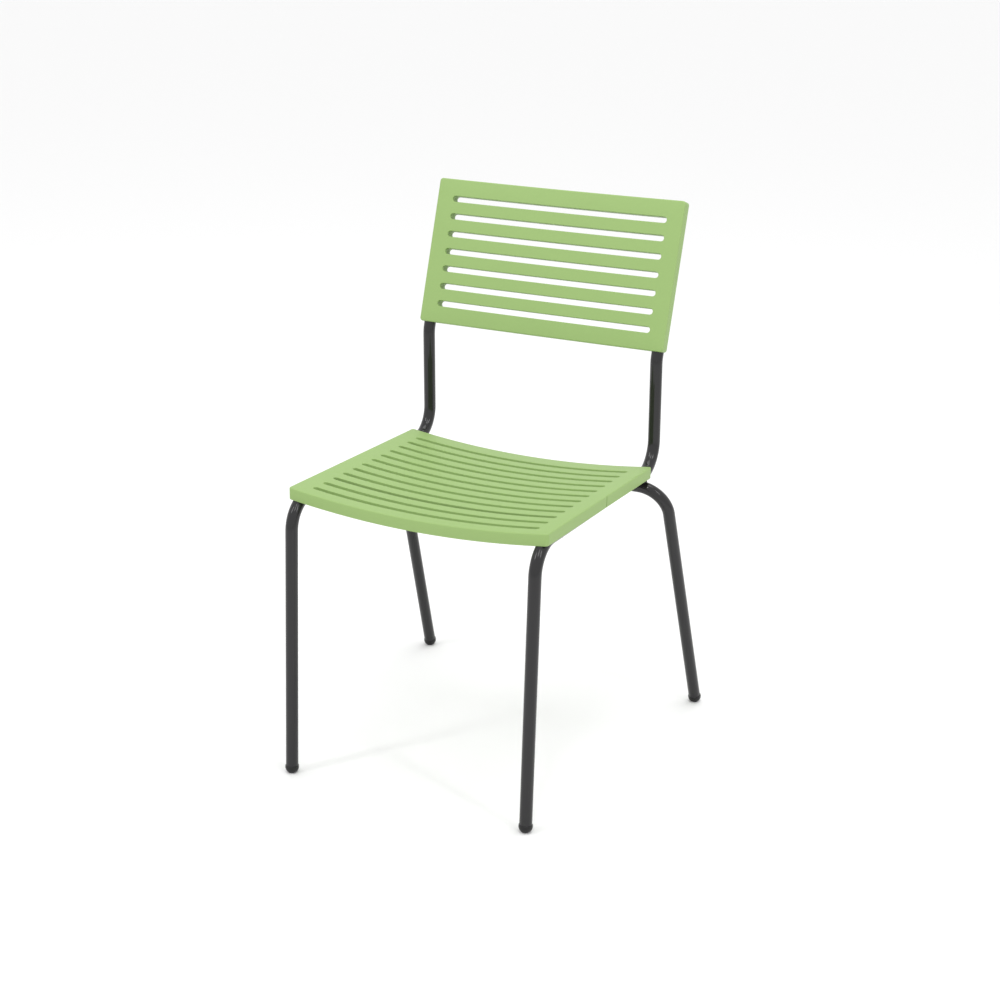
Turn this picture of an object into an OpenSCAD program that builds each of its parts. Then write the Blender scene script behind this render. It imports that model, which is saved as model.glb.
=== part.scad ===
// Stacking chair: bent steel tube frame with slotted plastic seat and back.
// The front of the chair faces -Y, up is +Z, and the floor is at z = 0.
// The origin lies on the floor, midway between the four feet.

/* [Frame] */
// Outside diameter of the main frame tube
tube_d = 19; // [16:0.5:24]
// Wall thickness of the frame tubes
tube_wall = 1.5; // [1:0.1:2]
// Centre-line radius of the tight bends
bend_r = 46; // [38:1:60]
// Distance from the front feet to the rear feet, on the floor
foot_span = 534; // [440:1:650]
// Distance between the two rear feet, on the floor
rear_track = 502; // [470:1:600]
// Angle that the front legs lean back by
front_lean = 2.3; // [0:0.1:4]
// Angle that the rear legs splay backwards by
rear_splay = 18.8; // [14:0.1:22]
// Outward run of a rear leg for each unit of its height
rear_flare = 0.034; // [0:0.002:0.06]
// Angle that the seat rails fall by towards the back
rail_fall = 0.7; // [0:0.05:1]
// Angle that the uprights lean forwards by, between seat and back
upright_lean = 1.25; // [0:0.05:2]
// Outside diameter of the front cross tube
cross_d = 16; // [12:0.5:19]
// Distance of the front cross tube behind the front edge of the seat
cross_setback = 84; // [70:1:84]

/* [Seat] */
// Height of the front corners of the seat
seat_height = 448; // [380:1:540]
// Width of the seat and of the back
panel_w = 422; // [380:1:480]
// Length of the seat from front to back, along its slope
seat_len = 372; // [350:1:420]
// Angle that the seat falls by towards the back
seat_fall = 1.2; // [0.6:0.1:2]
// Depth of the dish across the seat
seat_dip = 15; // [6:0.2:18]
// Number of slots across the seat
seat_slots = 12; // [10:1:12]
// Distance from the front edge of the seat to its first slot
seat_margin = 28; // [24:1:30]
// Distance from the front feet to the front edge of the seat
seat_setback = 28.4; // [26:0.2:34]
// Depth of the walls around the slots of the seat
seat_slot_wall_h = 12; // [8:0.5:14]

/* [Back] */
// Height of the back panel, along its slope
back_len = 231; // [225:1:270]
// Height of the lower edge of the back panel
back_height = 616; // [560:1:700]
// Angle that the back panel leans back by
back_lean = 17.75; // [12:0.25:22]
// Depth of the curve across the back panel
back_dip = 8; // [4:0.5:14]
// Number of slots across the back
back_slots = 7; // [5:1:7]

/* [Mouldings] */
// Depth of the rim of the seat and back mouldings
rim_h = 18; // [16:0.5:22]
// Wall thickness of the mouldings
shell_wall = 2.6; // [2.4:0.1:3.2]
// Thickness of the walls around the slots
slot_wall = 2; // [1.6:0.1:2.4]
// Width of one slot
slot_w = 9.4; // [7:0.1:11]
// Length of one slot
slot_len = 369; // [320:1:370]
// Distance from one slot to the next
slot_pitch = 28.1; // [25:0.1:28.5]
// Corner radius of the mouldings
corner_r = 5; // [3:0.5:8]
// Thickness of the saddle ribs that sit on the tubes
rib_t = 2.4; // [2:0.1:3]

/* [Feet and fasteners] */
// Diameter of the foot glides
glide_d = 21; // [17:0.5:26]
// Height of the middle of the glide's round end above the floor
glide_h = 9; // [7.8:0.1:9.4]
// Shank diameter of the screws
screw_d = 4; // [3:0.5:5]
// Head diameter of the screws
head_d = 8; // [7:0.5:10]
// Width of the welded seat tabs
tab_w = 18; // [12:1:24]
// Thickness of the welded seat tabs
tab_t = 2.5; // [2:0.1:4]
// Gap between a clip of the back and the slot walls beside it
clip_gap = 1.35; // [0.8:0.05:2]
// Length of the stacking pads on the rear hoop
pad_len = 26; // [16:1:40]

/* [Hidden] */
$fn = 64;

// Small clearances between pieces
fit_gap = 0.2;
over = 1;

// Colours
tube_colour = [0.16, 0.16, 0.17];
panel_colour = [0.62, 0.74, 0.47];
trim_colour = [0.1, 0.1, 0.11];
steel_colour = [0.7, 0.71, 0.73];

// Tube places across the chair
tube_r = tube_d / 2;
frame_half = panel_w / 2 - shell_wall - 2.5 * fit_gap - tube_r;
channel_d = tube_d + 3 * fit_gap;
channel_w = tube_d + 4 * fit_gap;
front_y = -foot_span / 2;
rear_y = foot_span / 2;

// Seat plane: its front edge and its rear edge
seat_y = front_y + seat_setback;
seat_rear_y = seat_y + seat_len * cos(seat_fall);
seat_rear_z = seat_height - seat_len * sin(seat_fall);

// Depth of a tube's centre line below the edge of a panel that is dip deep
function tube_depth(dip) =
    shell_wall + 3 * fit_gap + tube_r + dip * (1 - pow(2 * frame_half / panel_w, 2));

// Rail line: it passes just under the skin of the seat at the rear edge
rail_rear_z = seat_rear_z - tube_depth(seat_dip);
function rail_z(y) = rail_rear_z + (seat_rear_y - y) * tan(rail_fall);

// Back plane: its lower edge stands in front of the uprights
tube_back_depth = tube_depth(back_dip);
back_bend_drop = 16;
seat_clearance_y = 33;
upright_y = seat_rear_y + seat_clearance_y;
back_bend_z = back_height - back_bend_drop;
back_y = upright_y + back_bend_drop * tan(back_lean) - tube_back_depth / cos(back_lean);
back_tube_len = back_len - 24;
back_tube_top = back_tube_len - back_bend_drop / cos(back_lean) + tube_back_depth * tan(back_lean);

// Rear hoop: its cross bar passes just under the rails
hoop_slope = tan(rear_splay);
hoop_z_guess = rail_z(seat_rear_y) - tube_d;
hoop_y = rear_y - hoop_slope * hoop_z_guess;
hoop_z = rail_z(hoop_y) - tube_d - fit_gap / 2;
hoop_half = rear_track / 2 - rear_flare * hoop_z;

// Pitch of the slots and the places of fastenings between them
function slot_at(i) = seat_margin + i * slot_pitch;
function slat_at(i) = slot_at(i) + slot_pitch / 2;
weld_collar = 3; // how far a weld collar stands out on each side of the cross tube
cross_y = seat_y + cross_setback;
tab_gap = cross_setback + cross_d / 2 + weld_collar + tab_w / 2 + fit_gap;
front_tab_slat = ceil((tab_gap / cos(seat_fall) - seat_margin) / slot_pitch - 0.5);
tab_rows = [slat_at(front_tab_slat), slat_at(seat_slots - 3)];
back_margin = (back_len - (back_slots - 1) * slot_pitch) / 2;
clip_rows = [back_margin + slot_pitch / 2, back_margin + (back_slots - 1.5) * slot_pitch];
boss_x = slot_len / 2 - 9;
boss_d = screw_d + 4.4;

// ---------- tubes ----------

// Section of a tube, or of a solid bar where the bore is 0
module ring(d, bore) {
    difference() {
        circle(d = d);
        if (bore > 0)
            circle(d = bore);
    }
}

// Distance from a corner of a tube's path to the start of its bend
function bend_setback(turn) = bend_r * tan(abs(turn) / 2);

// A bend draws its wall out by this much, and the straights lap over its ends
draw = 0.02;
lap = 0.3;

// Bend that leaves the XY plane upwards and turns towards +X
module bend(turn, d, bore) {
    multmatrix([[-1, 0, 0, bend_r], [0, 0, 1, 0], [0, 1, 0, 0]])
        rotate_extrude(angle = turn) translate([bend_r, 0])
            ring(d - draw, bore > 0 ? bore + draw : 0);
}

// Tube that starts upwards from the XY plane. It has a bend after each straight
// but the last: a positive turn goes towards its own +X side, a negative one away.
// The straights are given between the corners of the path.
module bent_tube(straights, turns, d, bore = 0, i = 0) {
    last = len(straights) - 1;
    cut_before = i == 0 ? 0 : bend_setback(turns[i - 1]);
    cut_after = i == last ? 0 : bend_setback(turns[i]);
    run = straights[i] - cut_before - cut_after;
    lap_before = i == 0 ? 0 : lap;
    lap_after = i == last ? 0 : lap;
    translate([0, 0, -lap_before])
        linear_extrude(run + lap_before + lap_after) ring(d, bore);
    if (i < last) {
        flip = turns[i] < 0 ? 180 : 0;
        translate([0, 0, run]) rotate([0, 0, flip]) {
            bend(abs(turns[i]), d, bore);
            translate([bend_r, 0, 0]) rotate([0, abs(turns[i]), 0]) translate([-bend_r, 0, 0])
                rotate([0, 0, -flip])
                    bent_tube(straights, turns, d, bore, i + 1);
        }
    }
}

// The glides hold the tubes up off the floor
glide_collar = 3;
tube_start_h = glide_h + glide_collar;

// Corners of a side frame's path, as places along Y and Z
lean_slope = tan(front_lean);
leg_top_z = (rail_z(0) - front_y * tan(rail_fall)) / (1 + lean_slope * tan(rail_fall));
leg_top_y = front_y + leg_top_z * lean_slope;
rail_end_y = upright_y + (back_bend_z - rail_z(upright_y)) * tan(upright_lean);
rail_end_z = rail_z(rail_end_y);

// Straights and turns of a side frame: front leg, rail, upright and back stay
side_straights = [(leg_top_z - tube_start_h) / cos(front_lean),
                  (rail_end_y - leg_top_y) / cos(rail_fall),
                  (back_bend_z - rail_end_z) / cos(upright_lean),
                  back_tube_len];
side_turns = [90 + rail_fall - front_lean, -90 - rail_fall - upright_lean, upright_lean + back_lean];

// Places a child that stands on the XY plane at the lower end of a front leg
module on_front_leg(side) {
    translate([side * frame_half, front_y + tube_start_h * lean_slope, tube_start_h])
        rotate([-front_lean, 0, 0]) rotate([0, 0, 90]) children();
}

module side_frame_bar(side, d, bore = 0) {
    on_front_leg(side) bent_tube(side_straights, side_turns, d, bore);
}

module side_frame(side) {
    color(tube_colour) side_frame_bar(side, tube_d, tube_d - 2 * tube_wall);
}

// Straight stretch of a rail
module rail_bar(side, d) {
    translate([side * frame_half, leg_top_y, rail_z(leg_top_y)]) rotate([-90 - rail_fall, 0, 0])
        cylinder(d = d, h = (rail_end_y - leg_top_y) / cos(rail_fall));
}

// The rear hoop lies in one sloping plane: its legs lean outwards in that plane
hoop_flare = atan(rear_flare * cos(rear_splay));
hoop_leg = (hoop_z - tube_start_h) / (cos(rear_splay) * cos(hoop_flare));

// Places a child that stands on the XY plane at the lower end of a rear leg
module on_rear_leg(side) {
    translate([side * (rear_track / 2 - rear_flare * tube_start_h),
               rear_y - hoop_slope * tube_start_h, tube_start_h])
        rotate([rear_splay, 0, 0]) rotate([0, -side * hoop_flare, 0]) children();
}

module hoop_bar(d, bore = 0) {
    on_rear_leg(-1)
        bent_tube([hoop_leg, 2 * hoop_half, hoop_leg], [90 - hoop_flare, 90 - hoop_flare], d, bore);
}

module rear_leg_hoop() {
    color(tube_colour) hoop_bar(tube_d, tube_d - 2 * tube_wall);
}

// Front cross tube: bowed down under the dish of the seat
seat_mid_under = seat_height - cross_setback * sin(seat_fall) - seat_dip - seat_slot_wall_h;
cross_mid_z = seat_mid_under - cross_d / 2 - 2;
cross_end_z = rail_z(cross_y) - tube_r * 0.8;
cross_sag = cross_end_z - cross_mid_z;
cross_r = (frame_half * frame_half + cross_sag * cross_sag) / (2 * cross_sag);
cross_angle = 2 * asin(frame_half / cross_r);

module cross_arc(d, bore) {
    translate([0, cross_y, cross_mid_z + cross_r]) rotate([90, 0, 0])
        rotate([0, 0, -90 - cross_angle / 2])
            rotate_extrude(angle = cross_angle, $fn = 360) translate([cross_r, 0]) ring(d, bore);
}

module front_cross_tube() {
    color(tube_colour) difference() {
        cross_arc(cross_d, cross_d - 2 * tube_wall);
        for (side = [-1, 1])
            rail_bar(side, tube_d + 0.02);
    }
}

// Weld beads between the rails and the cross bar of the hoop
weld_d = 14;
module hoop_welds() {
    color(tube_colour)
        for (side = [-1, 1]) difference() {
            translate([side * frame_half, hoop_y, hoop_z + tube_r - 3])
                cylinder(d = weld_d, h = 6);
            translate([side * frame_half, hoop_y, hoop_z + tube_r - 3 - over])
                cylinder(d = weld_d / 2, h = 6 + 2 * over);
            rail_bar(side, tube_d + 0.02);
            translate([side * frame_half, hoop_y, hoop_z]) rotate([0, 90, 0])
                cylinder(d = tube_d + 0.02, h = 2 * weld_d, center = true);
        }
}

// Weld collars where the front cross tube meets the rails
module cross_tube_welds() {
    collar = 4;
    color(tube_colour)
        for (side = [-1, 1]) difference() {
            translate([side * frame_half, cross_y, rail_z(cross_y)]) rotate([90, 0, 0])
                cylinder(r = tube_r + collar, h = cross_d + 2 * weld_collar, center = true);
            rail_bar(side, tube_d + 0.02);
            cross_arc(cross_d + 0.02, 0);
            weld_trim(side);
        }
}

// What is cut away from a weld collar, so that only a bead round the cross tube is left
module weld_trim(side) {
    reach = 3 * tube_d;
    difference() {
        translate([side * frame_half, cross_y, rail_z(cross_y)]) cube(reach, center = true);
        cross_arc(cross_d + 4, 0);
    }
    translate([side * (frame_half + reach / 2), cross_y, rail_z(cross_y)]) cube(reach, center = true);
}

// ---------- mouldings ----------

// Rectangle with round corners, w along X and h from 0 up along Y
module round_plate(w, h, r) {
    translate([-w / 2 + r, 0]) square([w - 2 * r, h]);
    translate([-w / 2, r]) square([w, h - 2 * r]);
    for (x = [-w / 2 + r, w / 2 - r], y = [r, h - r])
        translate([x, y]) circle(r = r);
}

// Slot with round ends, centred on the origin and long in X
module slot_outline(w, len) {
    square([len - w, w], center = true);
    for (side = [-1, 1])
        translate([side * (len - w) / 2, 0]) circle(d = w);
}

// Section across a dished panel: it is dip deep in the middle, and its face
// reaches h = 0 at its edges. The band runs from top to bottom below the face,
// and stands a little over the panel's sides, which the outline trims.
module dish_section(w, dip, top, bottom) {
    r = (w * w / 4 + dip * dip) / (2 * dip);
    difference() {
        intersection() {
            translate([-w / 2 - over, -bottom - dip - over])
                square([w + 2 * over, bottom + dip + 3 * over]);
            translate([0, r - dip - bottom]) circle(r = r, $fn = 720);
        }
        translate([0, r - dip - top]) circle(r = r, $fn = 720);
    }
}

// Dished panel, long in Y. Its face is up and its rim hangs down.
module dished_block(w, len, dip, top, bottom) {
    rotate([90, 0, 0]) mirror([0, 0, 1])
        linear_extrude(len) dish_section(w, dip, top, bottom);
}

// Dished tray with slots: slots is the list of their places along Y
module slotted_tray(len, dip, slots, slot_wall_h) {
    deep = rim_h + dip + over;
    inner_w = panel_w - 2 * shell_wall;
    difference() {
        intersection() {
            dished_block(panel_w, len, dip, 0, rim_h);
            translate([0, 0, -deep]) linear_extrude(deep + over) round_plate(panel_w, len, corner_r);
        }
        intersection() {
            difference() {
                dished_block(panel_w, len, dip, shell_wall, rim_h + over);
                intersection() {
                    dished_block(panel_w, len, dip, shell_wall - 0.5, slot_wall_h);
                    translate([0, 0, -deep]) linear_extrude(deep + over)
                        for (y = slots)
                            translate([0, y]) slot_outline(slot_w + 2 * slot_wall, slot_len + 2 * slot_wall);
                }
            }
            translate([0, shell_wall, -deep]) linear_extrude(deep + over)
                round_plate(inner_w, len - 2 * shell_wall, corner_r - shell_wall / 2);
        }
        translate([0, 0, -deep - over]) linear_extrude(deep + 3 * over)
            for (y = slots)
                translate([0, y]) slot_outline(slot_w, slot_len);
    }
}

// Ribs at both sides of a tray that rest on the tubes, one at each row
module saddle_ribs(len, dip, rows, depth) {
    rib_x = slot_len / 2 + slot_wall - 0.5;
    rib_w = panel_w / 2 - shell_wall - rib_x + 0.5;
    intersection() {
        dished_block(panel_w, len, dip, shell_wall - 0.5, depth);
        for (side = [-1, 1], y = rows)
            translate([side > 0 ? rib_x : -rib_x - rib_w, y - rib_t / 2, -depth - dip])
                cube([rib_w, rib_t, depth + dip]);
    }
}

// Height of the dished face at x, below the edges of the panel
function dish_at(x, dip) =
    let (r = (panel_w * panel_w / 4 + dip * dip) / (2 * dip))
    r - dip - sqrt(r * r - x * x);

// Puts a child that is built on the seat's own plane in its place
module on_seat() {
    translate([0, seat_y, seat_height]) rotate([-seat_fall, 0, 0]) children();
}

// Puts a child that is built lying down, face up, in the place of the back
module on_back() {
    translate([0, back_y, back_height]) rotate([90 - back_lean, 0, 0]) children();
}

// ---------- seat ----------

seat_slot_rows = [for (i = [0:seat_slots - 1]) slot_at(i)];
tab_top = dish_at(boss_x, seat_dip) - rim_h - 0.5;
groove_w = 2;
groove_depth = 0.8;

module seat_shell() {
    color(panel_colour) difference() {
        union() {
            on_seat() {
                slotted_tray(seat_len, seat_dip, seat_slot_rows, seat_slot_wall_h);
                for (side = [-1, 1], y = tab_rows)
                    seat_boss(side, y);
            }
            difference() {
                on_seat()
                    saddle_ribs(seat_len, seat_dip, [for (i = [0:2:seat_slots - 1]) slot_at(i)], rim_h - 1);
                cross_arc(cross_d + 6, 0);
            }
        }
        for (side = [-1, 1]) {
            front_notch(side);
            rail_channel(side, seat_y + shell_wall + 3, seat_len - shell_wall - 12, 0);
            rail_channel(side, seat_rear_y - shell_wall - 4, shell_wall + 8, rear_bend_rise + fit_gap);
        }
        hoop_channel();
        on_seat() {
            for (side = [-1, 1], y = tab_rows)
                translate([side * boss_x, y, tab_top - over]) cylinder(d = screw_d, h = 12);
            for (side = [-1, 1])
                translate([side * panel_w / 2, seat_len * 0.54, -rim_h / 2 - 1])
                    cube([2 * groove_depth, groove_w, rim_h + 2], center = true);
        }
    }
}

// Height that a rail has gained in its rear bend, where it leaves the seat
rear_bend_y = rail_end_y - bend_setback(side_turns[1]) * cos(rail_fall);
rear_bend_run = max(seat_rear_y - rear_bend_y, 0);
rear_bend_rise = bend_r - tube_r - sqrt(pow(bend_r - tube_r, 2) - pow(rear_bend_run, 2));

// Channel for a rail, open at the bottom, run long from start_y and raised by lift
module rail_channel(side, start_y, run, lift) {
    translate([side * frame_half, start_y, rail_z(start_y) + lift]) rotate([-90 - rail_fall, 0, 0]) {
        cylinder(d = channel_d, h = run);
        translate([-channel_w / 2, 0, 0]) cube([channel_w, 2 * tube_d, run]);
    }
}

// Channel across the rear rim for the cross bar of the hoop, open below
module hoop_channel() {
    translate([0, hoop_y, hoop_z]) {
        rotate([0, 90, 0]) cylinder(d = channel_d, h = panel_w - 4 * tube_d, center = true);
        translate([2 * tube_d - panel_w / 2, -channel_w / 2, -2 * tube_d])
            cube([panel_w - 4 * tube_d, channel_w, 2 * tube_d]);
    }
}

// Shallow notch inside the front rim, where the outside of the leg's bend passes it
bend_y = leg_top_y - bend_setback(side_turns[0]) * sin(front_lean) + bend_r * cos(front_lean);
bend_z = leg_top_z - bend_setback(side_turns[0]) * cos(front_lean) - bend_r * sin(front_lean);
rim_foot_z = seat_height - rim_h + dish_at(frame_half, seat_dip);
bend_front_y = bend_y - sqrt(pow(bend_r + tube_r, 2) - pow(rim_foot_z - bend_z, 2));
module front_notch(side) {
    notch_h = 2.5;
    translate([side * frame_half, bend_front_y - fit_gap + tube_r + 1, rim_foot_z - 2 * over])
        cylinder(r = tube_r + 1, h = 2 * over + notch_h);
}

module seat_boss(side, y) {
    z = dish_at(boss_x, seat_dip);
    translate([side * boss_x, y, tab_top]) cylinder(d = boss_d, h = z - shell_wall / 2 - tab_top);
}

// Steel tab welded to a rail, with a hole for the seat screw
module seat_tab(side, row) {
    inner_x = boss_x - head_d / 2 - 4;
    outer_x = frame_half - tube_r / 3;
    color(tube_colour) difference() {
        on_seat() difference() {
            translate([side > 0 ? inner_x : -outer_x, tab_rows[row] - tab_w / 2, tab_top - tab_t])
                cube([outer_x - inner_x, tab_w, tab_t]);
            translate([side * boss_x, tab_rows[row], tab_top - tab_t - over])
                cylinder(d = screw_d + 0.5, h = tab_t + 2 * over);
        }
        rail_bar(side, tube_d + 0.02);
    }
}

// Round-headed screw that points up, with the underside of its head at z = 0
module screw(shank_len) {
    head_h = head_d * 0.35;
    cylinder(d = screw_d - 0.02, h = shank_len);
    difference() {
        translate([0, 0, -head_h]) cylinder(d1 = head_d * 0.7, d2 = head_d, h = head_h);
        translate([0, 0, -head_h - over]) cylinder(d = screw_d * 0.8, h = over + head_h / 2, $fn = 6);
    }
}

washer_t = 1;
module seat_screws() {
    color(steel_colour) on_seat()
        for (side = [-1, 1], y = tab_rows)
            translate([side * boss_x, y, tab_top - tab_t - washer_t]) screw(tab_t + washer_t + 9);
}

module seat_washers() {
    color(steel_colour) on_seat()
        for (side = [-1, 1], y = tab_rows)
            translate([side * boss_x, y, tab_top - tab_t - washer_t]) difference() {
                cylinder(d = head_d + 3, h = washer_t);
                translate([0, 0, -over]) cylinder(d = screw_d + 0.3, h = washer_t + 2 * over);
            }
}

// ---------- back ----------

// Straight bar along the stretch of an upright that is inside the back
module stay_bar(side, d, from, to) {
    translate([side * frame_half, from, -tube_back_depth]) rotate([-90, 0, 0])
        cylinder(d = d, h = to - from);
}

// Channel for an upright, open at the rear, from below the back up to the given height
module stay_channel(side, to) {
    stay_bar(side, channel_d, -5, to);
    translate([side * frame_half - channel_w / 2, -5, -tube_back_depth - 2 * tube_d])
        cube([channel_w, to + 5, 2 * tube_d]);
}

back_slot_rows = [for (i = [0:back_slots - 1]) back_margin + i * slot_pitch];
clip_t = 2.5;
clip_w = slot_pitch - slot_w - 2 * slot_wall - 2 * clip_gap;
clip_floor = dish_at(boss_x, back_dip) - rim_h;

module back_shell() {
    color(panel_colour) on_back() difference() {
        union() {
            slotted_tray(back_len, back_dip, back_slot_rows, rim_h);
            saddle_ribs(back_len, back_dip, back_slot_rows, rim_h - 1);
            for (side = [-1, 1], y = clip_rows)
                translate([side * boss_x, y, clip_floor])
                    cylinder(d = boss_d, h = rim_h - shell_wall / 2);
        }
        for (side = [-1, 1]) {
            stay_channel(side, back_tube_top + plug_cap + 0.5);
            for (y = clip_rows)
                translate([side * boss_x, y, clip_floor - over]) cylinder(d = screw_d, h = 12);
        }
    }
}

// Strap that holds one upright in its channel: it bridges the tube and is
// screwed to a boss beside it
module back_clip(side, row) {
    strap_r = tube_r + clip_t;
    tube_h = -tube_back_depth;
    wing = frame_half - boss_x + head_d / 2 + 1;
    color(trim_colour) difference() {
        on_back() translate([0, clip_rows[row] - clip_w / 2, 0]) intersection() {
            rotate([90, 0, 0]) mirror([0, 0, 1]) linear_extrude(clip_w) union() {
                translate([side * frame_half, tube_h]) circle(r = strap_r);
                translate([side > 0 ? frame_half - wing : -frame_half, clip_floor - clip_t])
                    square([wing, clip_t]);
            }
            translate([side > 0 ? frame_half - wing : -panel_w / 2 + shell_wall + fit_gap,
                       0, -rim_h - 2 * tube_d])
                cube([wing + tube_r - 0.2, clip_w, 2 * tube_d + rim_h + clip_floor - 0.02]);
        }
        on_back() {
            stay_bar(side, tube_d + 0.02, clip_rows[row] - clip_w, clip_rows[row] + clip_w);
            translate([side * boss_x, clip_rows[row], clip_floor - clip_t - over])
                cylinder(d = screw_d + 0.3, h = clip_t + 2 * over);
        }
    }
}

module back_screws() {
    color(steel_colour) on_back()
        for (side = [-1, 1], y = clip_rows)
            translate([side * boss_x, y, clip_floor - clip_t]) screw(clip_t + 9);
}

// ---------- plugs, glides and pads ----------

// Plug in the upper end of an upright, inside the back
plug_len = 14;
plug_cap = 2;
module upright_plug(side) {
    color(trim_colour) on_back()
        translate([side * frame_half, back_tube_top, -tube_back_depth]) rotate([-90, 0, 0]) {
            translate([0, 0, -plug_len]) cylinder(d = tube_d - 2 * tube_wall - fit_gap, h = plug_len + 1);
            cylinder(d = tube_d - 0.4, h = plug_cap);
        }
}

// Round end of a glide, a collar under the tube and a plug in it. The child
// module places it at the lower end of a leg; middle is its place on the floor.
module glide_top() {
    translate([0, 0, -glide_collar]) cylinder(d = glide_d - 0.4, h = glide_collar);
    translate([0, 0, -1]) cylinder(d = tube_d - 2 * tube_wall - fit_gap, h = 19);
}

module glide_end(x, y) {
    intersection() {
        translate([x, y, glide_h]) sphere(d = glide_d);
        translate([x, y, 0]) cylinder(d = 3 * glide_d, h = 3 * glide_d);
        children();
    }
}

// Space below the end of a leg, which the round end of its glide fills
module below_leg() {
    translate([0, 0, -3 * glide_d - 0.5]) cylinder(d = 4 * glide_d, h = 3 * glide_d);
}

module front_glide(side) {
    color(trim_colour) {
        on_front_leg(side) glide_top();
        glide_end(side * frame_half, front_y + glide_h * lean_slope)
            on_front_leg(side) below_leg();
    }
}

module rear_glide(side) {
    color(trim_colour) {
        on_rear_leg(side) glide_top();
        glide_end(side * (rear_track / 2 - rear_flare * glide_h), rear_y - hoop_slope * glide_h)
            on_rear_leg(side) below_leg();
    }
}

// Pad clipped on the cross bar of the hoop, open at the top
pad_wall = 2.5;
pad_x = 120;
module stacking_pad(side) {
    color(trim_colour)
        translate([side * pad_x, hoop_y, hoop_z]) rotate([0, 90, 0]) difference() {
            cylinder(d = tube_d + 2 * pad_wall, h = pad_len, center = true);
            cylinder(d = tube_d + 0.02, h = pad_len + 2 * over, center = true);
            translate([-tube_d - tube_r * 0.4, -tube_d, -pad_len / 2 - over])
                cube([tube_d, 2 * tube_d, pad_len + 2 * over]);
        }
}

side_frame(-1);  // left_side_frame
side_frame(1);  // right_side_frame
rear_leg_hoop();
front_cross_tube();
hoop_welds();
cross_tube_welds();
seat_tab(-1, 0);  // front_left_seat_tab
seat_tab(1, 0);  // front_right_seat_tab
seat_tab(-1, 1);  // rear_left_seat_tab
seat_tab(1, 1);  // rear_right_seat_tab
seat_shell();
seat_screws();
seat_washers();
back_shell();
back_clip(-1, 1);  // upper_left_back_clip
back_clip(1, 1);  // upper_right_back_clip
back_clip(-1, 0);  // lower_left_back_clip
back_clip(1, 0);  // lower_right_back_clip
back_screws();
upright_plug(-1);  // left_upright_plug
upright_plug(1);  // right_upright_plug
front_glide(-1);  // front_left_glide
front_glide(1);  // front_right_glide
rear_glide(-1);  // rear_left_glide
rear_glide(1);  // rear_right_glide
stacking_pad(-1);  // left_stacking_pad
stacking_pad(1);  // right_stacking_pad
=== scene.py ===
# %% [markdown]
# # A stacking chair, built piece by piece
# This chair has two bent steel side frames, a steel hoop for rear legs, and two
# moulded plastic panels with slots: a dished seat and a curved back.
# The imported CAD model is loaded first. It says where every piece goes, so nothing
# here is placed by eye.

# %% Load the frame
import bpy, bmesh, math
from mathutils import Matrix, Vector


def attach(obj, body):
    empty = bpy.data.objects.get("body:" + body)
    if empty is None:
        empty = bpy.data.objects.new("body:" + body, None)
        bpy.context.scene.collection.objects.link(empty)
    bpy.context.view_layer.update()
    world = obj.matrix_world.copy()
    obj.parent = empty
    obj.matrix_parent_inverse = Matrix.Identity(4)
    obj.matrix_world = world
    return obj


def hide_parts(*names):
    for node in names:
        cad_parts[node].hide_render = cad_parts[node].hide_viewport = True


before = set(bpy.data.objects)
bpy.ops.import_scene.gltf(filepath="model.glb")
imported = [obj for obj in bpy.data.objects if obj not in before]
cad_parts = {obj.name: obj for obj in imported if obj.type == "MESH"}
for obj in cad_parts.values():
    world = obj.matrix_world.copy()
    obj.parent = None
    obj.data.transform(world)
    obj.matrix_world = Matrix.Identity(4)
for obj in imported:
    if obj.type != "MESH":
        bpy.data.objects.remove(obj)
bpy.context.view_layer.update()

MM = 0.001

# %% [markdown]
# The chair's sizes are written once, in millimetres, and everything below is worked
# out from them. They are the sizes that a maker would put on the drawing: the tube,
# its bend radius, the slope of each leg, and the two panels.

# %% Sizes of the chair
tube_d, cross_d, bend_r, tube_start = 19.0, 16.0, 46.0, 12.0
foot_span, rear_track = 534.0, 502.0
front_lean, rear_splay, rail_fall = (math.radians(a) for a in (2.3, 18.8, 0.7))
upright_lean, back_lean, seat_fall = (math.radians(a) for a in (1.25, 17.75, 1.2))
rear_flare = 0.034

seat = dict(width=422.0, length=372.0, dish=15.0, slots=12, first=28.0, wall_h=12.0)
back = dict(width=422.0, length=231.0, dish=8.0, slots=7, first=31.2, wall_h=18.0)
seat_height, seat_setback, back_height = 448.0, 28.4, 616.0
rim_h, skin, slot_wall, slot_w, slot_len = 18.0, 2.6, 2.0, 9.4, 369.0
pitch, corner_r, rim_edge, slot_edge = 28.1, 5.0, 2.0, 0.8
# from the seat to the uprights, from the back's foot down to their bend, and along them
upright_gap, bend_drop, stay_len = 33, 16, 207.0
# the cross tube behind the seat's edge and under the slots' walls; a tube's top below the
# back's top
cross_setback, cross_clear, stay_drop = 84, 2, 24
tube_r = tube_d / 2
frame_half = seat["width"] / 2 - skin - 0.5 - tube_r
print("between the middles of the rails:", round(2 * frame_half, 1), "mm")

def dish_at(x, panel):
    """Height of a panel's face at x: the sag of an arc over the panel's width."""
    w, d = panel["width"], panel["dish"]
    r = (w * w / 4 + d * d) / (2 * d)
    return r - d - math.sqrt(r * r - x * x)

def tube_depth(panel):
    """How far a tube's middle lies below the edges of a panel that it carries."""
    return skin + 0.6 + tube_r + panel["dish"] * (1 - (2 * frame_half / panel["width"]) ** 2)

# %% [markdown]
# A bent tube is drawn as a path of straight lines that meet at corners. The corners
# are found where the leg, rail and upright lines cross. The bends come later, as a
# fillet on each corner, in the way that a bending machine makes them.

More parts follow.
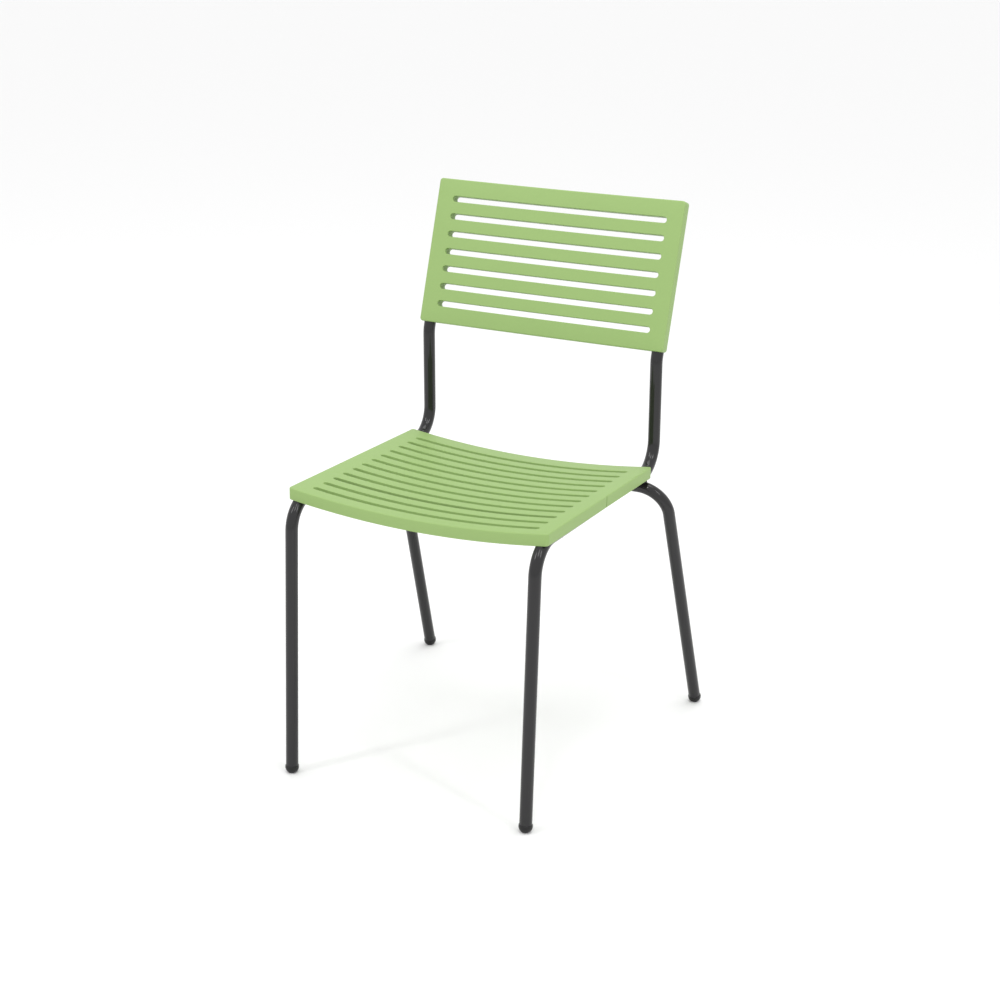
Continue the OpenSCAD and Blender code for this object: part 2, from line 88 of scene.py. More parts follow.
# %% Paths of the tubes
front_y, rear_y = -foot_span / 2, foot_span / 2
seat_y = front_y + seat_setback
seat_rear_y = seat_y + seat["length"] * math.cos(seat_fall)
seat_rear_z = seat_height - seat["length"] * math.sin(seat_fall)

def rail_z(y):
    return seat_rear_z - tube_depth(seat) + (seat_rear_y - y) * math.tan(rail_fall)

lean = math.tan(front_lean)
leg_top_z = (rail_z(0) - front_y * math.tan(rail_fall)) / (1 + lean * math.tan(rail_fall))
upright_y, bend_z = seat_rear_y + upright_gap, back_height - bend_drop
rail_end_y = upright_y + (bend_z - rail_z(upright_y)) * math.tan(upright_lean)
side_path = [(front_y + tube_start * lean, tube_start), (front_y + leg_top_z * lean, leg_top_z),
             (rail_end_y, rail_z(rail_end_y)), (upright_y, bend_z),
             (upright_y + stay_len * math.sin(back_lean), bend_z + stay_len * math.cos(back_lean))]
splay = math.tan(rear_splay)
hoop_y = rear_y - splay * (rail_z(seat_rear_y) - tube_d)
hoop_z = rail_z(hoop_y) - tube_d - 0.1
hoop_half = rear_track / 2 - rear_flare * hoop_z
rear_foot = (rear_track / 2 - rear_flare * tube_start, rear_y - splay * tube_start, tube_start)
hoop_path = [(-rear_foot[0], *rear_foot[1:]), (-hoop_half, hoop_y, hoop_z),
             (hoop_half, hoop_y, hoop_z), rear_foot]
print("side frame corners (y, z):", [(round(y), round(z)) for y, z in side_path])

# %% [markdown]
# The camera stands in front of the chair, to the right and a little above it. Its lens
# is long, so that the legs stay nearly parallel. The two vectors are its own right and up.

# %% Camera
right = Vector((0.89212131, 0.45164578, 0.01164772))
up = Vector((-0.15657988, 0.28489848, 0.94568261))
camera_data = bpy.data.cameras.new("camera")
lens = 68.32
camera_data.sensor_width, camera_data.lens = 36.0, lens
camera = bpy.data.objects.new("camera", camera_data)
bpy.context.scene.collection.objects.link(camera)
turn = Matrix((right, up, right.cross(up))).transposed().to_4x4()
camera.matrix_world = Matrix.Translation((1.2482, -2.4562, 1.3378)) @ turn
bpy.context.scene.camera = camera
print("camera at", [round(c, 2) for c in camera.matrix_world.translation], "lens", lens, "mm")

# %% [markdown]
# ## Helpers
# Every repeated or swept piece is made by a Geometry Nodes tree. This small class
# wires a tree up one node at a time, so that each tree below reads like a recipe.
# `grow` runs a tree on an object, keeps the result as a plain mesh, and takes the
# modifier away again.

# %% A recipe for node trees
class Recipe:
    def __init__(self, name, inputs=()):
        self.tree = bpy.data.node_groups.new(name, "GeometryNodeTree")
        face = self.tree.interface
        face.new_socket("Geometry", in_out="INPUT", socket_type="NodeSocketGeometry")
        for label, kind, value in inputs:
            socket = face.new_socket(label, in_out="INPUT", socket_type="NodeSocket" + kind)
            if value is not None:
                socket.default_value = value
        face.new_socket("Geometry", in_out="OUTPUT", socket_type="NodeSocketGeometry")
        self.across = 0
        self.start = self.add("NodeGroupInput")

    def add(self, kind, wires=None, **settings):
        node = self.tree.nodes.new(kind)
        self.across += 1
        node.location = (190 * (self.across // 4), -170 * (self.across % 4))
        for name, value in settings.items():
            setattr(node, name, value)
        for socket, value in (wires or {}).items():
            if isinstance(value, bpy.types.NodeSocket):
                self.tree.links.new(value, node.inputs[socket])
            else:
                node.inputs[socket].default_value = value
        return node

    def given(self, label):
        return self.start.outputs[label]

    def math(self, operation, *values):
        return self.add("ShaderNodeMath", dict(enumerate(values)), operation=operation).outputs[0]

    def part(self, number):
        """The share of the incoming mesh whose "part" attribute has this number."""
        named = self.add("GeometryNodeInputNamedAttribute", {"Name": "part"}, data_type="INT")
        same = self.add("FunctionNodeCompare", {2: named.outputs["Attribute"], 3: number},
                        data_type="INT", operation="EQUAL")
        kept = self.add("GeometryNodeSeparateGeometry",
                        {"Geometry": self.given("Geometry"), "Selection": same.outputs[0]})
        return kept.outputs["Selection"]

    def join(self, *geometries):
        node = self.add("GeometryNodeJoinGeometry")
        for geometry in geometries:
            self.tree.links.new(geometry, node.inputs[0])
        return node.outputs[0]

    def finish(self, geometry, crease=40):
        """Smooth faces with crisp creases, real geometry and one material."""
        smooth = self.add("GeometryNodeSetShadeSmooth",
                          {"Geometry": geometry, "Shade Smooth": True}, domain="FACE")
        angle = self.add("GeometryNodeInputMeshEdgeAngle")
        sharp = self.add("FunctionNodeCompare", {0: angle.outputs[0], 1: math.radians(crease)},
                         data_type="FLOAT", operation="GREATER_THAN")
        creased = self.add("GeometryNodeSetShadeSmooth", {
            "Geometry": smooth.outputs[0], "Selection": sharp.outputs[0], "Shade Smooth": False},
            domain="EDGE")
        real = self.add("GeometryNodeRealizeInstances", {"Geometry": creased.outputs[0]})
        done = self.add("GeometryNodeSetMaterial",
                        {"Geometry": real.outputs[0], "Material": self.given("Material")})
        self.add("NodeGroupOutput", {"Geometry": done.outputs[0]})
        return self.tree

def grow(tree, obj, **values):
    modifier = obj.modifiers.new("recipe", "NODES")
    modifier.node_group = tree
    for item in tree.interface.items_tree:
        label = item.name.lower().replace(" ", "_")
        if item.in_out == "INPUT" and label in values:
            modifier[item.identifier] = values[label]
    graph = bpy.context.evaluated_depsgraph_get()
    mesh = bpy.data.meshes.new_from_object(obj.evaluated_get(graph))
    obj.modifiers.remove(modifier)
    obj.data = mesh
    tidy(obj)
    one_finish(obj, values["material"])
    print(f"{obj.name}: {len(mesh.polygons)} faces")
    return obj

def one_finish(obj, material):
    """Gives every face of a piece the same finish."""
    obj.data.materials.clear()
    obj.data.materials.append(material)
    for face in obj.data.polygons:
        face.material_index = 0

def tidy(obj):
    """Welds doubles and turns every face outwards."""
    work = bmesh.new()
    work.from_mesh(obj.data)
    bmesh.ops.remove_doubles(work, verts=work.verts, dist=2e-6)
    bmesh.ops.recalc_face_normals(work, faces=work.faces)
    work.to_mesh(obj.data)
    work.free()

# %% [markdown]
# A recipe starts from a few simple lines: the path of a tube, the outline of a slot,
# or the section of a rim. `sketch` turns lists of points into one mesh of edges and
# numbers each list, so that the tree can tell them apart.

# %% Sketches
def sketch(name, parts, solids=()):
    """parts: (number, points, closed) in millimetres; solids: (number, bmesh maker)."""
    work = bmesh.new()
    tag = work.verts.layers.int.new("part")
    for number, points, closed in parts:
        verts = [work.verts.new(Vector(p) * MM) for p in points]
        for v in verts:
            v[tag] = number
        for a, b in zip(verts, verts[1:] + (verts[:1] if closed else [])):
            if a is not b:
                work.edges.new((a, b))
    for number, make in solids:
        before = set(work.verts)
        make(work)
        for v in work.verts:
            if v not in before:
                v[tag] = number
    mesh = bpy.data.meshes.new(name)
    work.to_mesh(mesh)
    work.free()
    obj = bpy.data.objects.new(name, mesh)
    bpy.context.scene.collection.objects.link(obj)
    return obj

def arc(cx, cy, r, start, end, steps):
    """Points on an arc, with the angles in degrees."""
    return [(cx + r * math.cos(math.radians(start + (end - start) * i / steps)),
             cy + r * math.sin(math.radians(start + (end - start) * i / steps)))
            for i in range(steps + 1)]

def spaced(points, step):
    """A closed outline with extra points along its long straight runs."""
    out = []
    for (ax, ay), (bx, by) in zip(points, points[1:] + points[:1]):
        n = max(1, round(math.dist((ax, ay), (bx, by)) / step))
        out += [(ax + (bx - ax) * i / n, ay + (by - ay) * i / n) for i in range(n)]
    return out

def stadium(w, length, steps=10):
    x = (length - w) / 2
    return arc(x, 0, w / 2, -90, 90, steps) + arc(-x, 0, w / 2, 90, 270, steps)

def round_plate(w, length, r, steps=8):
    return (arc(w / 2 - r, length - r, r, 0, 90, steps)
            + arc(-w / 2 + r, length - r, r, 90, 180, steps)
            + arc(-w / 2 + r, r, r, 180, 270, steps) + arc(w / 2 - r, r, r, 270, 360, steps))

print("points round a slot:", len(stadium(slot_w, slot_len)))

# %% [markdown]
# ## Finishes
# Two small shader groups are shared by every finish. One gives a fine grain to the
# surface, as powder coat and textured mouldings have. The other shifts a colour a
# little from place to place, because no moulding or coat is perfectly even.

# %% Shared shader groups
def shader_group(name, inputs, outputs):
    group = bpy.data.node_groups.new(name, "ShaderNodeTree")
    for label, kind, value in inputs:
        socket = group.interface.new_socket(label, in_out="INPUT", socket_type="NodeSocket" + kind)
        socket.default_value = value
    for label, kind in outputs:
        group.interface.new_socket(label, in_out="OUTPUT", socket_type="NodeSocket" + kind)
    return group, group.nodes.new("NodeGroupInput"), group.nodes.new("NodeGroupOutput")

grain, g_in, g_out = shader_group(
    "surface grain", [("Scale", "Float", 900.0), ("Depth", "Float", 0.1)], [("Normal", "Vector")])
place = grain.nodes.new("ShaderNodeTexCoord")
noise = grain.nodes.new("ShaderNodeTexNoise")
noise.inputs["Detail"].default_value = 2.0
bump = grain.nodes.new("ShaderNodeBump")
bump.inputs["Distance"].default_value = 0.0002
grain.links.new(place.outputs["Object"], noise.inputs["Vector"])
grain.links.new(g_in.outputs["Scale"], noise.inputs["Scale"])
grain.links.new(g_in.outputs["Depth"], bump.inputs["Strength"])
grain.links.new(noise.outputs["Fac"], bump.inputs["Height"])
grain.links.new(bump.outputs["Normal"], g_out.inputs["Normal"])

tone, t_in, t_out = shader_group(
    "uneven tone",
    [("Colour", "Color", (0.5, 0.5, 0.5, 1)), ("Shift", "Float", 0.04), ("Gloss", "Float", 0.4)],
    [("Colour", "Color"), ("Roughness", "Float")])
place = tone.nodes.new("ShaderNodeTexCoord")
noise = tone.nodes.new("ShaderNodeTexNoise")
noise.inputs["Scale"].default_value = 14.0
noise.inputs["Detail"].default_value = 5.0
centred = tone.nodes.new("ShaderNodeMath"); centred.operation = "SUBTRACT"
centred.inputs[1].default_value = 0.5
scaled = tone.nodes.new("ShaderNodeMath"); scaled.operation = "MULTIPLY_ADD"
scaled.inputs[2].default_value = 1.0
shade = tone.nodes.new("ShaderNodeHueSaturation")
rough = tone.nodes.new("ShaderNodeMath"); rough.operation = "MULTIPLY"
tone.links.new(place.outputs["Object"], noise.inputs["Vector"])
tone.links.new(noise.outputs["Fac"], centred.inputs[0])
tone.links.new(centred.outputs[0], scaled.inputs[0])
tone.links.new(t_in.outputs["Shift"], scaled.inputs[1])
tone.links.new(scaled.outputs[0], shade.inputs["Value"])
tone.links.new(t_in.outputs["Colour"], shade.inputs["Color"])
tone.links.new(scaled.outputs[0], rough.inputs[0])
tone.links.new(t_in.outputs["Gloss"], rough.inputs[1])
tone.links.new(shade.outputs["Color"], t_out.inputs["Colour"])
tone.links.new(rough.outputs[0], t_out.inputs["Roughness"])
print("shader groups:", grain.name, tone.name)

# %% [markdown]
# Each finish is one Principled shader with its own numbers. The powder coat is a
# satin charcoal. The mouldings are a soft leaf green with a matt, fine-grained skin.

# %% The finishes
def finish(name, colour, gloss, scale, depth, shift, metallic=0.0, coat=0.0, sheen=0.5):
    material = bpy.data.materials.new(name)
    material.use_nodes = True
    nodes, links = material.node_tree.nodes, material.node_tree.links
    shader = nodes["Principled BSDF"]
    shader.inputs["Metallic"].default_value = metallic
    shader.inputs["Coat Weight"].default_value = coat
    shader.inputs["Coat Roughness"].default_value = 0.06
    shader.inputs["Specular IOR Level"].default_value = sheen
    grained = nodes.new("ShaderNodeGroup"); grained.node_tree = grain
    grained.inputs["Scale"].default_value = scale
    grained.inputs["Depth"].default_value = depth
    toned = nodes.new("ShaderNodeGroup"); toned.node_tree = tone
    toned.inputs["Colour"].default_value = (*colour, 1)
    toned.inputs["Shift"].default_value = shift
    toned.inputs["Gloss"].default_value = gloss
    links.new(grained.outputs["Normal"], shader.inputs["Normal"])
    links.new(toned.outputs["Colour"], shader.inputs["Base Color"])
    links.new(toned.outputs["Roughness"], shader.inputs["Roughness"])
    material.diffuse_color = (*colour, 1)
    return material

powder_coat = finish("satin charcoal powder coat", (0.0125, 0.012, 0.013), 0.30, 1100, 0.05, 0.10,
                     coat=0.75, sheen=0.05)
green_moulding = finish("leaf green moulding", (0.264, 0.394, 0.134), 0.50, 1600, 0.06, 0.05,
                        sheen=0.35)
black_nylon = finish("black nylon", (0.018, 0.018, 0.019), 0.45, 1300, 0.10, 0.12)
glide_nylon = finish("dark glide nylon", (0.010, 0.010, 0.010), 0.35, 1200, 0.08, 0.12,
                     sheen=0.3)
pad_rubber = finish("pad rubber", (0.020, 0.020, 0.020), 0.75, 900, 0.20, 0.15, sheen=0.3)
zinc = finish("bright zinc", (0.60, 0.61, 0.63), 0.28, 1500, 0.05, 0.08, metallic=1.0)
print("finishes:", [m.name for m in (powder_coat, green_moulding, black_nylon, glide_nylon,
                                     pad_rubber, zinc)])

# %% [markdown]
# ## The bent tubes
# The maker draws the path of a tube's middle as straight lines, and the bender rounds
# each corner at one radius. The tree does the same: fillet the path, then sweep a
# circle along it. One tree makes the side frames, the hoop and the front cross tube.

# %% The bent tube recipe
def bent_tube_recipe():
    r = Recipe("bent tube", [
        ("Bend Radius", "Float", bend_r * MM), ("Tube Radius", "Float", tube_r * MM),
        ("Bend Steps", "Int", 28), ("Round Steps", "Int", 48), ("Material", "Material", None)])
    path = r.add("GeometryNodeMeshToCurve", {"Mesh": r.given("Geometry")})
    bent = r.add("GeometryNodeFilletCurve", {"Curve": path.outputs[0], "Limit Radius": True},
                 mode="POLY")
    r.tree.links.new(r.given("Bend Steps"), bent.inputs["Count"])
    r.tree.links.new(r.given("Bend Radius"), bent.inputs["Radius"])
    section = r.add("GeometryNodeCurvePrimitiveCircle",
                    {"Resolution": r.given("Round Steps"), "Radius": r.given("Tube Radius")})
    tube = r.add("GeometryNodeCurveToMesh", {
        "Curve": bent.outputs[0], "Profile Curve": section.outputs[0], "Fill Caps": True})
    return r.finish(tube.outputs[0])

bent_tube = bent_tube_recipe()

def tube_piece(name, node, points, radius=tube_r, bend=bend_r):
    piece = grow(bent_tube, sketch(name, [(1, points, False)]), material=powder_coat,
                 bend_radius=bend * MM, tube_radius=radius * MM)
    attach(piece, "root")
    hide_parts(node)
    return piece

for side, word in ((-1, "left"), (1, "right")):
    tube_piece(f"{word}_side_tube", f"{word}_side_frame",
               [(side * frame_half, y, z) for y, z in side_path])
tube_piece("hoop_tube", "rear_leg_hoop", hoop_path)

# %% [markdown]
# The front cross tube is thinner, and bows down under the dish of the seat. A single
# corner with a very large bend gives exactly that shallow arc.

# %% Front cross tube
cross_y = seat_y + cross_setback
cross_end_z = rail_z(cross_y) - tube_r * 0.8
walls_z = seat_height - cross_setback * math.sin(seat_fall) - seat["dish"] - seat["wall_h"]
cross_mid_z = walls_z - cross_d / 2 - cross_clear
sag = cross_end_z - cross_mid_z
cross_r = (frame_half ** 2 + sag ** 2) / (2 * sag)
corner_z = cross_end_z - frame_half * math.tan(math.asin(frame_half / cross_r))
tip = 0.975
tip_z = cross_end_z + (corner_z - cross_end_z) * (1 - tip)
cross_path = [(-frame_half * tip, cross_y, tip_z), (0, cross_y, corner_z),
              (frame_half * tip, cross_y, tip_z)]
tube_piece("cross_tube", "front_cross_tube", cross_path, radius=cross_d / 2, bend=cross_r * 0.98)

# %% [markdown]
# ## The weld beads
# A weld is a row of small overlapping puddles, laid down as the torch moves along the
# joint. The tree puts a small ball on each step of the line where the two tubes meet.
# Each ball is made a little larger or smaller by chance, with a fixed seed.

# %% Weld bead recipe
def weld_recipe():
    r = Recipe("weld bead", [("Step", "Float", 1.7 * MM), ("Bead", "Float", 1.9 * MM),
                             ("Seed", "Int", 7), ("Material", "Material", None)])
    line = r.add("GeometryNodeMeshToCurve", {"Mesh": r.given("Geometry")})
    spots = r.add("GeometryNodeResampleCurve", {"Curve": line.outputs[0]}, mode="LENGTH")
    r.tree.links.new(r.given("Step"), spots.inputs["Length"])
    blob = r.add("GeometryNodeMeshIcoSphere", {"Radius": r.given("Bead"), "Subdivisions": 3})
    size = r.add("FunctionNodeRandomValue", data_type="FLOAT")
    r.tree.links.new(r.given("Seed"), size.inputs["Seed"])
    size.inputs[2].default_value, size.inputs[3].default_value = 0.88, 1.08
    laid = r.add("GeometryNodeInstanceOnPoints", {
        "Points": spots.outputs[0], "Instance": blob.outputs[0], "Scale": size.outputs[1]})
    return r.finish(laid.outputs[0], crease=80)

weld_bead = weld_recipe()

def meeting_line(side):
    """Where the cross tube runs into the side of a rail, down to the rail's low side."""
    line, drop, low, steps = [], tube_r * 0.8, -9.3, 48
    bead_r = cross_d / 2 * 1.06
    for i in range(steps + 1):
        a = 2 * math.pi * i / steps
        y, z = bead_r * math.cos(a), bead_r * math.sin(a) - drop
        if z > low:
            line.append((side * (frame_half - math.sqrt(tube_r ** 2 - z * z) - 0.3),
                         cross_y + y, rail_z(cross_y) + z))
    return line

def saddle_line(side):
    """A ring where the hoop touches the underside of a rail."""
    r, steps = 5.2, 32
    return [(side * frame_half + r * math.cos(a), hoop_y + r * math.sin(a), hoop_z + tube_r)
            for a in (2 * math.pi * i / steps for i in range(steps))]

for name, node, line_of, closed in (
        ("cross_tube_beads", "cross_tube_welds", meeting_line, False),
        ("hoop_beads", "hoop_welds", saddle_line, True)):
    lines = [(i, line_of(side), closed) for i, side in enumerate((-1, 1))]
    beads = grow(weld_bead, sketch(name, lines), material=powder_coat)
    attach(beads, "root")
    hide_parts(node)

# %% [markdown]
# ## The moulded panels
# Both panels are the same idea: a thin skin with a rim all round and a row of long
# slots, each with a wall under its edge that stiffens the skin. All of it is pressed
# into a shallow dish. The tree follows that rule. It sweeps the section of the rim
# round the outline, and the section of a slot's wall round every slot. It fills the
# skin's two faces between them, welds the edges, and then bends everything at once.

# %% The slotted panel recipe
def slotted_panel_recipe():
    r = Recipe("slotted panel", [
        ("Slots", "Int", 12), ("First Slot", "Float", 0.028), ("Pitch", "Float", pitch * MM),
        ("Skin", "Float", skin * MM), ("Width", "Float", 0.422), ("Dish", "Float", 0.015),
        ("Material", "Material", None)])
    def curve_of(number):
        return r.add("GeometryNodeMeshToCurve", {"Mesh": r.part(number)}).outputs[0]
    def flat(curve):
        return r.add("GeometryNodeSetCurveNormal", {"Curve": curve}, mode="Z_UP").outputs[0]
    def sweep(curve, section):
        return r.add("GeometryNodeCurveToMesh",
                     {"Curve": flat(curve), "Profile Curve": section}).outputs[0]
    first_row = r.add("ShaderNodeCombineXYZ", {"Y": r.given("First Slot")})
    step = r.add("ShaderNodeCombineXYZ", {"Y": r.given("Pitch")})
    rows = r.add("GeometryNodeMeshLine", {
        "Count": r.given("Slots"), "Start Location": first_row.outputs[0],
        "Offset": step.outputs[0]})
    slots = r.add("GeometryNodeInstanceOnPoints",
                  {"Points": rows.outputs[0], "Instance": curve_of(2)})
    slots = r.add("GeometryNodeRealizeInstances", {"Geometry": slots.outputs[0]})
    walls = r.join(sweep(curve_of(1), curve_of(3)), sweep(slots.outputs[0], curve_of(4)))
    # the skin's two faces span the open edges of the walls
    faces = r.add("GeometryNodeInputMeshEdgeNeighbors")
    open_edge = r.add("FunctionNodeCompare", {2: faces.outputs[0], 3: 1},
                      data_type="INT", operation="EQUAL")
    position = r.add("GeometryNodeInputPosition")
    xyz = r.add("ShaderNodeSeparateXYZ", {0: position.outputs[0]})
    shells = [walls]
    for side, sheet_z in (("GREATER_THAN", 0.0), ("LESS_THAN", -1.0)):
        half = r.math("MULTIPLY", r.given("Skin"), -0.5)
        where = r.add("FunctionNodeCompare", {0: xyz.outputs["Z"], 1: half},
                      data_type="FLOAT", operation=side)
        both = r.add("FunctionNodeBooleanMath", {0: open_edge.outputs[0], 1: where.outputs[0]},
                     operation="AND")
        loops = r.add("GeometryNodeMeshToCurve", {"Mesh": walls, "Selection": both.outputs[0]})
        filled = r.add("GeometryNodeFillCurve", {"Curve": loops.outputs[0]}, mode="TRIANGLES")
        shift = r.add("ShaderNodeCombineXYZ", {"Z": r.math("MULTIPLY", r.given("Skin"), sheet_z)})
        moved = r.add("GeometryNodeSetPosition",
                      {"Geometry": filled.outputs[0], "Offset": shift.outputs[0]})
        shells.append(moved.outputs[0])
    welded = r.add("GeometryNodeMergeByDistance", {"Geometry": r.join(*shells), "Distance": 2e-5})
    # the dish: every point moves by the height of an arc over the width
    w2 = r.math("MULTIPLY", r.given("Width"), 0.5)
    radius = r.math("DIVIDE", r.math("ADD", r.math("MULTIPLY", w2, w2),
                                     r.math("MULTIPLY", r.given("Dish"), r.given("Dish"))),
                    r.math("MULTIPLY", r.given("Dish"), 2.0))
    reach = r.math("SQRT", r.math("SUBTRACT", r.math("MULTIPLY", radius, radius),
                                  r.math("MULTIPLY", xyz.outputs["X"], xyz.outputs["X"])))
    height = r.math("SUBTRACT", r.math("SUBTRACT", radius, r.given("Dish")), reach)
    lift = r.add("ShaderNodeCombineXYZ", {"Z": height})
    dished = r.add("GeometryNodeSetPosition",
                   {"Geometry": welded.outputs[0], "Offset": lift.outputs[0]})
    return r.finish(dished.outputs[0], crease=32)

slotted_panel = slotted_panel_recipe()

# %% [markdown]
# The section of the rim starts at the skin's face, rounds over the edge, runs down the
# outside, and comes up the inside to the underside of the skin. A slot's wall does the
# same around the slot, with a tighter edge.

# %% Sections of the rim and of a slot's wall
def rim_section(depth, wall, edge):
    """Offsets inwards from the outline, and heights, in millimetres."""
    lip = 0.7
    top = arc(edge, -edge, edge, 90, 180, 6)
    foot = arc(lip, lip - depth, lip, 180, 270, 3) + arc(wall - lip, lip - depth, lip, 270, 360, 3)
    root = [(wall, -skin - 1.2), (wall + 0.4, -skin - 0.4), (wall + 1.2, -skin)]
    return top + foot + root

def panel_skin(name, panel):
    plate = round_plate(panel["width"], panel["length"], corner_r)
    outline = [(x, y, 0) for x, y in spaced(plate, 8)]
    slot = [(x, y, 0) for x, y in spaced(stadium(slot_w, slot_len), 8)]
    # a sweep carries a section's x outwards from the line and its y downwards
    rim = [(-x, -z, 0) for x, z in rim_section(rim_h, skin, rim_edge)]
    wall = [(x, -z, 0) for x, z in rim_section(panel["wall_h"], slot_wall, slot_edge)]
    piece = sketch(name, [(1, outline, True), (2, slot, True), (3, rim, False), (4, wall, False)])
    return grow(slotted_panel, piece, slots=panel["slots"], first_slot=panel["first"] * MM,
                width=panel["width"] * MM, dish=panel["dish"] * MM, material=green_moulding)

seat_place = (Matrix.Translation((0, seat_y * MM, seat_height * MM))
              @ Matrix.Rotation(-seat_fall, 4, "X"))
tube_y = upright_y + (back_height - bend_z) * math.tan(back_lean)
back_y = tube_y - tube_depth(back) / math.cos(back_lean)
back_place = (Matrix.Translation((0, back_y * MM, back_height * MM))
              @ Matrix.Rotation(math.pi / 2 - back_lean, 4, "X"))
seat_skin = panel_skin("seat_panel", seat)
back_skin = panel_skin("back_panel", back)

# %% [markdown]
# Behind the skin a moulding has more to it. Saddle ribs sit over the tubes and bosses
# take the screws. Each rib is a thin plate with an arch cut for its tube. These are
# plain prisms, made from their outline.

# %% Ribs and bosses
def prism(work, points, depth, place):
    """A flat outline in millimetres, pushed out along its Z, then put in place."""
    low = [work.verts.new(place @ (Vector((x, y, 0)) * MM)) for x, y in points]
    high = [work.verts.new(place @ (Vector((x, y, depth)) * MM)) for x, y in points]
    work.faces.new(low[::-1])
    work.faces.new(high)
    for i in range(len(points)):
        j = (i + 1) % len(points)
        work.faces.new((low[i], low[j], high[j], high[i]))

def circle(r, steps=28):
    return arc(0, 0, r, 0, 360, steps)[:-1]

on_edge = Matrix.Rotation(math.pi / 2, 4, "X")
rib_t, rib_in = 2.4, slot_len / 2 + slot_wall - 0.5
boss_x, boss_r = slot_len / 2 - 9, 4.2
boss_in = {"seat": dish_at(boss_x, seat) - rim_h - 0.5, "back": dish_at(boss_x, back) - rim_h}

def add_ribs(work, panel, rows, tube_at):
    rib_out, grip = panel["width"] / 2 - skin + 0.5, tube_r + 0.3
    for side in (-1, 1):
        for y in rows:
            xs = [rib_in, frame_half - grip, frame_half + grip, rib_out]
            foot = [dish_at(x, panel) - rim_h + 1 for x in xs]
            shape = [(xs[0], foot[0]), (xs[1], foot[1])]
            shape += arc(frame_half, tube_at(y), grip, 180, 0, 14)
            shape += [(xs[2], foot[2]), (xs[3], foot[3])]
            shape += [(x, dish_at(x, panel) - skin + 0.5) for x in (rib_out, frame_half, rib_in)]
            place = Matrix.Translation((0, (y + rib_t / 2) * MM, 0)) @ on_edge
            prism(work, [(side * x, z) for x, z in shape], rib_t, place)

def add_bosses(work, panel, rows, floor_z):
    for side in (-1, 1):
        for y in rows:
            height = dish_at(boss_x, panel) - skin / 2 - floor_z
            spot = Matrix.Translation(Vector((side * boss_x, y, floor_z)) * MM)
            prism(work, circle(boss_r), height, spot)

def rail_below_seat(y):
    """Height of a rail's middle below the seat's own face, at the seat's own y."""
    front, rear = (seat_place.inverted() @ (Vector((0, at, rail_z(at))) * MM)
                   for at in (seat_y, seat_rear_y))
    share = (y * MM - front.y) / (rear.y - front.y)
    return (front.z + share * (rear.z - front.z)) / MM

def rows_of(panel, numbers):
    return [panel["first"] + pitch * n for n in numbers]

seat_rows, back_rows = rows_of(seat, (3.5, 9.5)), rows_of(back, (0.5, 5.5))
print("rows of bosses:", [round(y, 1) for y in seat_rows], [round(y, 1) for y in back_rows])

# %% [markdown]
# The rims are notched where a tube passes them: the rails and the hoop at the rear of
# the seat, and the uprights at the foot of the back. A narrow groove runs down each side
# of the seat, near its middle. Each cutter is a prism, and one boolean takes out all the
# cutters of a kind. The ribs and bosses are added after the cuts.

# %% Notches and final panels
def cut(piece, make, place=Matrix()):
    mesh = bpy.data.meshes.new("cutter")
    work = bmesh.new()
    make(work)
    bmesh.ops.recalc_face_normals(work, faces=work.faces)
    work.to_mesh(mesh)
    work.free()
    cutter = bpy.data.objects.new("cutter", mesh)
    bpy.context.scene.collection.objects.link(cutter)
    cutter.matrix_world = place
    boolean = piece.modifiers.new("notches", "BOOLEAN")
    boolean.object, boolean.operation, boolean.solver = cutter, "DIFFERENCE", "EXACT"
    bpy.context.view_layer.update()
    graph = bpy.context.evaluated_depsgraph_get()
    mesh = bpy.data.meshes.new_from_object(piece.evaluated_get(graph))
    piece.modifiers.remove(boolean)
    piece.data = mesh
    bpy.data.objects.remove(cutter)

def channel(r, depth=30):
    """A round top over a tube, open below."""
    return arc(0, 0, r, 0, 180, 20) + [(-r, -depth), (r, -depth)]

def seat_notches(work):
    rear = Matrix.Rotation(-math.pi / 2, 4, "X") @ Matrix.Rotation(math.pi, 4, "Z")
    gap, start, length, hoop_reach = 0.3, 4, 12, 173
    for side in (-1, 1):
        y = seat_rear_y - skin - start
        rise = (y + skin + start - (rail_end_y - bend_r)) ** 2 / (2 * bend_r) + 0.4
        spot = Vector((side * frame_half, y, rail_z(y) + rise)) * MM
        prism(work, channel(tube_r + gap), length, Matrix.Translation(spot) @ rear)
    across = Matrix.Rotation(math.pi / 2, 4, "Z") @ on_edge
    spot = Matrix.Translation(Vector((-hoop_reach, hoop_y, hoop_z)) * MM)
    prism(work, channel(tube_r + gap), 2 * hoop_reach, spot @ across)

def seat_grooves(work):
    groove_y, below, deep, half_wide = seat["length"] * 0.54, 4, 0.8, 1
    section = [(-deep, -half_wide), (deep, -half_wide), (deep, half_wide), (-deep, half_wide)]
    for side in (-1, 1):
        spot = Vector((side * seat["width"] / 2, groove_y, -rim_h - below)) * MM
        prism(work, section, rim_h + below + 2, Matrix.Translation(spot))

def back_notches(work):
    up_the_back = on_edge.inverted() @ Matrix.Rotation(math.pi, 4, "Z")
    gap, start, past_rim = 0.4, 5, 2
    for side in (-1, 1):
        spot = Vector((side * frame_half, -start, -tube_depth(back))) * MM
        prism(work, channel(tube_r + gap), skin + start + past_rim,
              Matrix.Translation(spot) @ up_the_back)

def add_behind(piece, panel, rib_rows, tube_at, boss_rows, floor_z):
    work = bmesh.new()
    work.from_mesh(piece.data)
    add_ribs(work, panel, rib_rows, tube_at)
    add_bosses(work, panel, boss_rows, floor_z)
    bmesh.ops.recalc_face_normals(work, faces=work.faces)
    work.to_mesh(piece.data)
    work.free()

